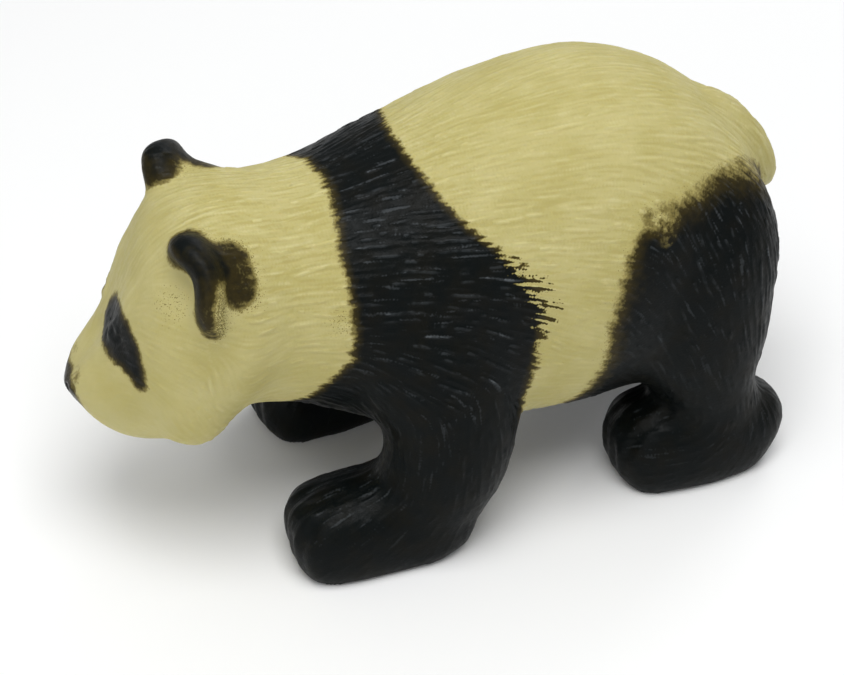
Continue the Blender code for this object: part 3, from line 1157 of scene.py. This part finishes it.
@dataclass(frozen=True)
class CreamPlastic:
    """Soft cream moulding plastic that light sinks into a little."""

    light: Colour = (0.483, 0.433, 0.192, 1.0)
    body: Colour = (0.435, 0.384, 0.148, 1.0)
    # Painted shade: the cream is darkened between the hairs
    hollow_shade: Colour = (0.34, 0.285, 0.085, 1.0)
    # Painted highlight: paler colour along the hairs and on their tops
    strand_highlight: Colour = (0.60, 0.56, 0.30, 1.0)
    roughness: float = 0.5
    depth: Triple = (1.0, 0.75, 0.3)
    depth_scale: float = 1.2
    glow: float = 0.35
    patches: Blotches = Blotches(0.16, 3.0, (0.3, 0.7))
    # Where the painted shade between the hairs comes in, and how strong it is
    hollow_span: Pair = (0.52, 0.42)
    hollow_share: float = 0.4
    # Where the painted highlights along the hairs come in, and how strong they are
    strand_span: Pair = (0.52, 0.62)
    strand_share: float = 0.8
    lit_share: float = 0.55

    def colour(self, bench: Bench, hair: Hair) -> Socket:
        """Lays out the colour of the bare plastic.

        Args:
            bench: Where the nodes go.
            hair: The hair at the point.

        Returns:
            The colour, with painted shade between the hairs and painted highlights on them.
        """
        plain = bench.mix(bench.blotches(self.patches), self.body, self.light)
        # Painted shade between the hairs
        hollow_shade = bench.times(bench.ramp(hair.streaks, self.hollow_span), hair.coat)
        shaded = bench.mix(bench.times(hollow_shade, self.hollow_share), plain, self.hollow_shade)
        # Painted highlights along the hairs and on their tops
        strand_highlight = bench.times(bench.ramp(hair.streaks, self.strand_span), hair.coat)
        lit = bench.maths("MAXIMUM", hair.crest_highlights, bench.times(strand_highlight, self.strand_share))
        return bench.mix(bench.times(lit, self.lit_share), shaded, self.strand_highlight)


@dataclass(frozen=True)
class BlackSpray:
    """Satin black paint, brown where it is thin.  Rates are in waves for each millimetre."""

    full: Colour = (0.0024, 0.0038, 0.0038, 1.0)
    warm: Colour = (0.0046, 0.0047, 0.0032, 1.0)
    thin: Colour = (0.044, 0.032, 0.0072, 1.0)
    mist: Colour = (0.21, 0.172, 0.055, 1.0)
    # Painted highlight: grey-blue glints along the hairs of the black
    strand_highlight: Colour = (0.085, 0.095, 0.102, 1.0)
    roughness: float = 0.42
    warmth: Blotches = Blotches(0.35, 4.0, (0.35, 0.75))
    # Painted glints along the hairs and on their tops: where they come in and how strong they are
    thread_span: Pair = (0.545, 0.62)
    thread_share: float = 0.95
    thread_least: float = 0.38
    crest_share: float = 0.26
    thickness_rate: float = 1.2
    thickness_span: Pair = (-0.4, 1.25)
    broad_detail: float = 2.0
    fine_detail: float = 3.0
    # The edge: how far it wanders broadly and finely, and the depth at which paint is full
    broad_rate: float = 0.7
    broad_reach: float = 0.7
    fine_rate: float = 3.2
    fine_reach: float = 0.6
    tuft_span: Pair = (0.40, 0.60)
    edge: float = 0.75
    wear: Blotches = Blotches(1.5, 3.0, (0.3, 0.65), (0.55, 1.1))
    speck_rate: float = 5.5
    speck_share: float = 0.42
    speck_span: Pair = (0.72, 0.95)
    speck_most: float = 0.5

    def cover(self, bench: Bench, streaks: Socket) -> Socket:
        """Lays out how far the black covers the cream.

        Args:
            bench: Where the nodes go.
            streaks: The finest hair.

        Returns:
            The cover, from 0 to 1.
        """
        tufts = bench.times(
            bench.ramp(streaks, self.tuft_span, (-1.0, 1.0)), bench.attribute(Layer.FRINGE)
        )
        broad = bench.swing(self.broad_rate, self.broad_detail, self.broad_reach)
        fine = bench.swing(self.fine_rate, self.fine_detail, self.fine_reach)
        ragged = bench.plus(bench.plus(bench.attribute(Layer.PAINT), broad), fine)
        ragged = bench.maths("MINIMUM", bench.plus(ragged, tufts), self.edge)
        worn = bench.times(bench.attribute(Layer.THIN), bench.blotches(self.wear))
        solid = bench.ramp(bench.minus(ragged, worn), (-self.edge, self.edge))
        haze = bench.times(bench.attribute(Layer.SPRAY), self.speck_share)
        specks = bench.plus(bench.noise(self.speck_rate, self.broad_detail), haze)
        return bench.maths("MAXIMUM", solid, bench.ramp(specks, self.speck_span, (0.0, self.speck_most)))

    def colour(self, bench: Bench, hair: Hair) -> Socket:
        """Lays out the colour of the paint.

        Args:
            bench: Where the nodes go.
            hair: The hair at the point.

        Returns:
            The colour, with painted glints along the hairs and brown where the paint is thin.
        """
        plain = bench.mix(bench.blotches(self.warmth), self.full, self.warm)
        # Painted glints along the hairs and on their tops
        glint_thread = bench.times(bench.ramp(hair.streaks, self.thread_span), hair.coat)
        glint = bench.times(
            bench.times(glint_thread, self.thread_share), bench.plus(hair.crest_highlights, self.thread_least)
        )
        pale = bench.plus(glint, bench.times(hair.crest_highlights, self.crest_share))
        dark = bench.mix(pale, plain, self.strand_highlight)
        thickness = bench.minus(bench.attribute(Layer.PAINT), bench.attribute(Layer.THIN))
        thickness = bench.plus(thickness, bench.swing(self.thickness_rate, self.fine_detail))
        return bench.mix(bench.ramp(thickness, self.thickness_span), self.thin, dark)


@dataclass(frozen=True)
class PaintedPlastic:
    """The figure's finish: cream plastic with black sprayed over it."""

    cream: CreamPlastic = CreamPlastic()
    black: BlackSpray = BlackSpray()
    gloss: float = 0.08
    streak_rate: float = 2.2
    streak_length: float = 2.4
    streak_taps: int = 7
    # Painted highlights on the tops of the hairs: heights where they come in, and blotches that break them
    crest_span: Pair = (0.35, 0.85)
    crest_breaks: Blotches = Blotches(0.9, 3.0, (0.38, 0.6), (0.2, 1.0))
    # Covers between which the glow goes, the mist and the paint come, and the sheen changes
    glow_span: Pair = (0.1, 0.7)
    mist_span: Pair = (0.04, 0.42)
    paint_span: Pair = (0.3, 0.8)
    sheen_span: Pair = (0.3, 0.9)
    sheen_blotches: Blotches = Blotches(1.4, 3.0, (0.3, 0.7), (-0.06, 0.08))
    wetness: float = 0.2
    grain_rate: float = 4.0
    grain_detail: float = 3.0
    hair_relief: float = 7.0
    relief_strength: float = 0.4
    relief_height: float = 0.07

    def material(self) -> bpy.types.Material:
        """Builds the material.

        Returns:
            The material.
        """
        made = bpy.data.materials.new("painted_plastic")
        made.use_nodes = True
        bench = Bench(made.node_tree)
        shader = made.node_tree.nodes["Principled BSDF"]
        hair = self.hair(bench)
        cover = self.black.cover(bench, hair.streaks)
        glow = bench.times(bench.ramp(cover, self.glow_span, (1.0, 0.0)), self.cream.glow)
        bench.feed(shader, "Base Color", self.colour(bench, cover, hair))
        bench.feed(shader, "Roughness", self.roughness(bench, cover))
        bench.feed(shader, "Subsurface Weight", glow)
        shader.inputs["Subsurface Radius"].default_value = self.cream.depth
        shader.inputs["Subsurface Scale"].default_value = self.cream.depth_scale * METRES
        shader.inputs["Specular IOR Level"].default_value = self.gloss
        bench.feed(shader, "Normal", self.relief(bench, hair))
        return made

    def hair(self, bench: Bench) -> Hair:
        """Lays out what the finish knows of the hair.

        Args:
            bench: Where the nodes go.

        Returns:
            The finest hair, painted highlights on the tops of the raised hairs and the strength of the
            coat.
        """
        coat = bench.attribute(Layer.COAT)
        streaks = bench.streaks(self.streak_rate, self.streak_length, self.streak_taps)
        tops = bench.ramp(bench.attribute(Layer.CREST), self.crest_span)
        crest_highlights = bench.times(bench.times(tops, bench.blotches(self.crest_breaks)), coat)
        return Hair(streaks, crest_highlights, coat)

    def colour(self, bench: Bench, cover: Socket, hair: Hair) -> Socket:
        """Lays out the colour of the plastic with the paint over it.

        Args:
            bench: Where the nodes go.
            cover: How far the black covers the cream.
            hair: The hair at the point.

        Returns:
            The colour.
        """
        cream, paint = self.cream.colour(bench, hair), self.black.colour(bench, hair)
        misty = bench.mix(bench.ramp(cover, self.mist_span), cream, self.black.mist)
        return bench.mix(bench.ramp(cover, self.paint_span), misty, paint)

    def roughness(self, bench: Bench, cover: Socket) -> Socket:
        """Lays out the roughness.

        Args:
            bench: Where the nodes go.
            cover: How far the black covers the cream.

        Returns:
            The roughness: satin, a little blotchy, wet on the nose.
        """
        base = bench.ramp(cover, self.sheen_span, (self.cream.roughness, self.black.roughness))
        dull = bench.plus(base, bench.blotches(self.sheen_blotches))
        return bench.minus(dull, bench.times(bench.attribute(Layer.GLOSS), self.wetness))

    def relief(self, bench: Bench, hair: Hair) -> Socket:
        """Lays out the fine grain of the mould and the finest hair.

        Args:
            bench: Where the nodes go.
            hair: The hair at the point.

        Returns:
            The tilted normal.
        """
        grain = bench.noise(self.grain_rate, self.grain_detail)
        finest = bench.times(bench.times(hair.streaks, self.hair_relief), hair.coat)
        bump = bench.node("ShaderNodeBump")
        bench.feed(bump, "Strength", self.relief_strength)
        bench.feed(bump, "Distance", self.relief_height * METRES)
        bench.feed(bump, "Height", bench.plus(grain, finest))
        return bump.outputs["Normal"]


@dataclass
class PandaMoulding:
    """The whole figure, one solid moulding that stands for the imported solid."""

    node: str = "panda_figure"
    weld: float = 0.001
    rounding_levels: int = 2
    grain: float = 0.2
    quick_grain: float = 0.34
    softening: int = 8
    softening_share: float = 0.5
    triangle_budget: int = 186000
    sole_height: float = 0.14
    # How much wider the painted highlight on top of a hair is than the hair
    crest_width: float = 1.2
    # The hairs' strength in the finish where the surface faces down, and tilts that change it: painted
    # light, so the hairs' painted highlights and shade are strongest where the surface faces up
    underside_light_share: float = 0.35
    upward_span: Pair = (-0.2, 0.7)
    face: FaceTools = FaceTools()
    guides: FurGuides = FurGuides()
    coat: Coat = Coat()
    drawer: HairDrawer = field(default_factory=HairDrawer)
    paint: PaintMap = PaintMap()
    finish: PaintedPlastic = PaintedPlastic()

    def build(self) -> bpy.types.Object:
        """Builds and dresses the figure.

        Returns:
            The finished piece.
        """
        piece = self.refined()
        clay = Clay(piece)
        self.flatten_soles(clay)
        self.face.work(clay)
        clay.write()
        hairs = self.drawer.draw(Ground(clay, self.guides, self.coat))
        LOG.info("the hairs hold %d samples", len(hairs.places))
        heights, _ = hairs.reach(clay.places, self.drawer.half_width)
        heights -= self.drawer.sunk * self.drawer.high * self.coat.share(clay.places)
        clay.places += clay.normals * heights[:, None]
        self.keep_inside(clay)
        clay.write()
        self.thin_out(piece)
        self.dress(piece, hairs)
        return piece

    def refined(self) -> bpy.types.Object:
        """Makes a fine even mesh with the solid's own form.

        Returns:
            The piece to work on.
        """
        shape = bmesh.new()
        shape.from_mesh(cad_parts[self.node].data)
        bmesh.ops.remove_doubles(shape, verts=shape.verts, dist=self.weld * METRES)
        mesh = bpy.data.meshes.new("panda_moulding")
        shape.to_mesh(mesh)
        shape.free()
        piece = bpy.data.objects.new("panda_moulding", mesh)
        bpy.context.scene.collection.objects.link(piece)
        rounding = piece.modifiers.new("rounding", "SUBSURF")
        rounding.levels = rounding.render_levels = self.rounding_levels
        even = piece.modifiers.new("even_grain", "REMESH")
        even.mode = "VOXEL"
        even.voxel_size = self.grain * METRES
        soft = piece.modifiers.new("softening", "SMOOTH")
        soft.factor = self.softening_share
        soft.iterations = self.softening
        self.settle(piece)
        return piece

    def settle(self, piece: bpy.types.Object) -> None:
        """Puts the evaluated shape in place of a piece's own mesh.

        Args:
            piece: The piece, whose modifiers are used up.
        """
        graph = bpy.context.evaluated_depsgraph_get()
        shaped = bpy.data.meshes.new_from_object(piece.evaluated_get(graph))
        piece.modifiers.clear()
        piece.data = shaped

    def flatten_soles(self, clay: Clay) -> None:
        """Makes the soles flat on the ground."""
        low = clay.places[:, 2] < self.sole_height
        clay.places[low, 2] = 0.0

    def keep_inside(self, clay: Clay) -> None:
        """Holds every place inside the solid's own box."""
        low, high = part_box(self.node)
        clay.places = np.clip(clay.places, np.array(low) / METRES, np.array(high) / METRES)

    def thin_out(self, piece: bpy.types.Object) -> None:
        """Leaves fewer triangles, most of them where the surface bends.

        Args:
            piece: The figure with its fur.
        """
        piece.data.calc_loop_triangles()
        count = len(piece.data.loop_triangles)
        if count > self.triangle_budget:
            thin = piece.modifiers.new("thin_out", "DECIMATE")
            thin.ratio = self.triangle_budget / count
            self.settle(piece)
        clay = Clay(piece)
        self.keep_inside(clay)
        clay.write()

    def dress(self, piece: bpy.types.Object, hairs: Hairs) -> None:
        """Stores the paint and the painted light of the hairs on the vertices and gives the piece its
        finish.

        Args:
            piece: The figure with its fur.
            hairs: The samples of its hairs.
        """
        clay = Clay(piece)
        heights, characters = hairs.reach(clay.places, self.crest_width * self.drawer.half_width)
        layers = self.paint.layers(clay.places, characters)
        layers[Layer.CREST] = heights / self.drawer.high
        # Painted light: the hairs' painted highlights and shade are weaker where the surface faces down
        upward = ease(*self.upward_span, clay.normals[:, 2])
        top_light = self.underside_light_share + (1.0 - self.underside_light_share) * upward
        layers[Layer.COAT] = self.coat.share(clay.places) * top_light
        for layer, values in layers.items():
            stored = piece.data.attributes.new(layer.value, "FLOAT", "POINT")
            stored.data.foreach_set("value", values.astype(np.float32))
        ways = self.guides.ways(clay.places, clay.normals)
        stored = piece.data.attributes.new(Layer.WAY.value, "FLOAT_VECTOR", "POINT")
        stored.data.foreach_set("vector", ways.astype(np.float32).ravel())
        piece.data.materials.clear()
        piece.data.materials.append(self.finish.material())
        piece.data.shade_smooth()
        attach(piece, "root")
        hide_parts(self.node)


@dataclass(frozen=True)
class Lamp:
    """Square soft lamp: where it hangs, the length of its side and its power in watts."""

    name: str
    place: Triple
    side: float
    watts: float


@dataclass(frozen=True)
class Studio:
    """Pale floor, soft lamps and the camera."""

    picture_width: int = 844
    focal_pixels: float = 3045.0
    azimuth: float = -22.0
    elevation: float = 38.5
    distance: float = 350.0
    nearest: float = 10.0
    aim: Triple = (-4.7, -8.8, 26.0)
    film_width: float = 36.0
    floor_reach: float = 2000.0
    floor_squares: int = 8
    floor_colour: Colour = (0.93, 0.93, 0.925, 1.0)
    floor_roughness: float = 0.9
    sky_colour: Colour = (0.97, 0.985, 1.0, 1.0)
    sky_strength: float = 0.48
    lamps: tuple[Lamp, ...] = (
        Lamp("key", (-40.0, -120.0, 420.0), 260.0, 1.28),
        Lamp("fill", (-300.0, -320.0, 180.0), 240.0, 0.22),
        Lamp("rim", (260.0, 240.0, 260.0), 200.0, 0.3),
    )

    def build(self) -> None:
        """Builds floor, lamps, surroundings and camera."""
        self.floor()
        for lamp in self.lamps:
            self.hang(lamp)
        self.surroundings()
        self.camera()

    def back_way(self) -> Vector:
        """Unit direction from the figure to the camera."""
        turn, rise = math.radians(self.azimuth), math.radians(self.elevation)
        return Vector((math.sin(turn) * math.cos(rise), -math.cos(turn) * math.cos(rise), math.sin(rise)))

    def camera(self) -> None:
        """Builds the camera at the photograph's viewing angle."""
        data = bpy.data.cameras.new("camera")
        data.sensor_fit = "HORIZONTAL"
        data.sensor_width = self.film_width
        data.lens = self.focal_pixels / self.picture_width * self.film_width
        data.clip_start = self.nearest * METRES
        camera = bpy.data.objects.new("camera", data)
        camera.location = (Vector(self.aim) + self.back_way() * self.distance) * METRES
        camera.rotation_euler = (-self.back_way()).to_track_quat("-Z", "Y").to_euler()
        bpy.context.scene.collection.objects.link(camera)
        bpy.context.scene.camera = camera

    def floor(self) -> None:
        """Builds the plain pale floor under the figure."""
        shape = bmesh.new()
        squares = self.floor_squares
        bmesh.ops.create_grid(shape, x_segments=squares, y_segments=squares, size=self.floor_reach * METRES)
        mesh = bpy.data.meshes.new("floor")
        shape.to_mesh(mesh)
        shape.free()
        floor = bpy.data.objects.new("floor", mesh)
        bpy.context.scene.collection.objects.link(floor)
        paper = bpy.data.materials.new("floor_paper")
        paper.use_nodes = True
        shader = paper.node_tree.nodes["Principled BSDF"]
        shader.inputs["Base Color"].default_value = self.floor_colour
        shader.inputs["Roughness"].default_value = self.floor_roughness
        mesh.materials.append(paper)

    def hang(self, lamp: Lamp) -> None:
        """Hangs a lamp so that it looks at the figure.

        Args:
            lamp: The lamp.
        """
        data = bpy.data.lights.new(lamp.name, "AREA")
        data.size = lamp.side * METRES
        data.energy = lamp.watts
        hung = bpy.data.objects.new(lamp.name, data)
        hung.location = Vector(lamp.place) * METRES
        hung.rotation_euler = (Vector(self.aim) - Vector(lamp.place)).to_track_quat("-Z", "Y").to_euler()
        bpy.context.scene.collection.objects.link(hung)

    def surroundings(self) -> None:
        """Lets even pale light in from all around."""
        world = bpy.data.worlds.new("studio")
        world.use_nodes = True
        sky = world.node_tree.nodes["Background"]
        sky.inputs["Color"].default_value = self.sky_colour
        sky.inputs["Strength"].default_value = self.sky_strength
        bpy.context.scene.world = world
        bpy.context.scene.view_settings.view_transform = "Standard"


def main() -> None:
    """Builds the figure and the studio."""
    logging.basicConfig(level=logging.INFO, format="%(relativeCreated)d %(message)s")
    Studio().build()
    LOG.info("studio ready")
    piece = PandaMoulding().build()
    piece.data.calc_loop_triangles()
    LOG.info("%s: %d triangles", piece.name, len(piece.data.loop_triangles))


if __name__ == "__main__":
    main()
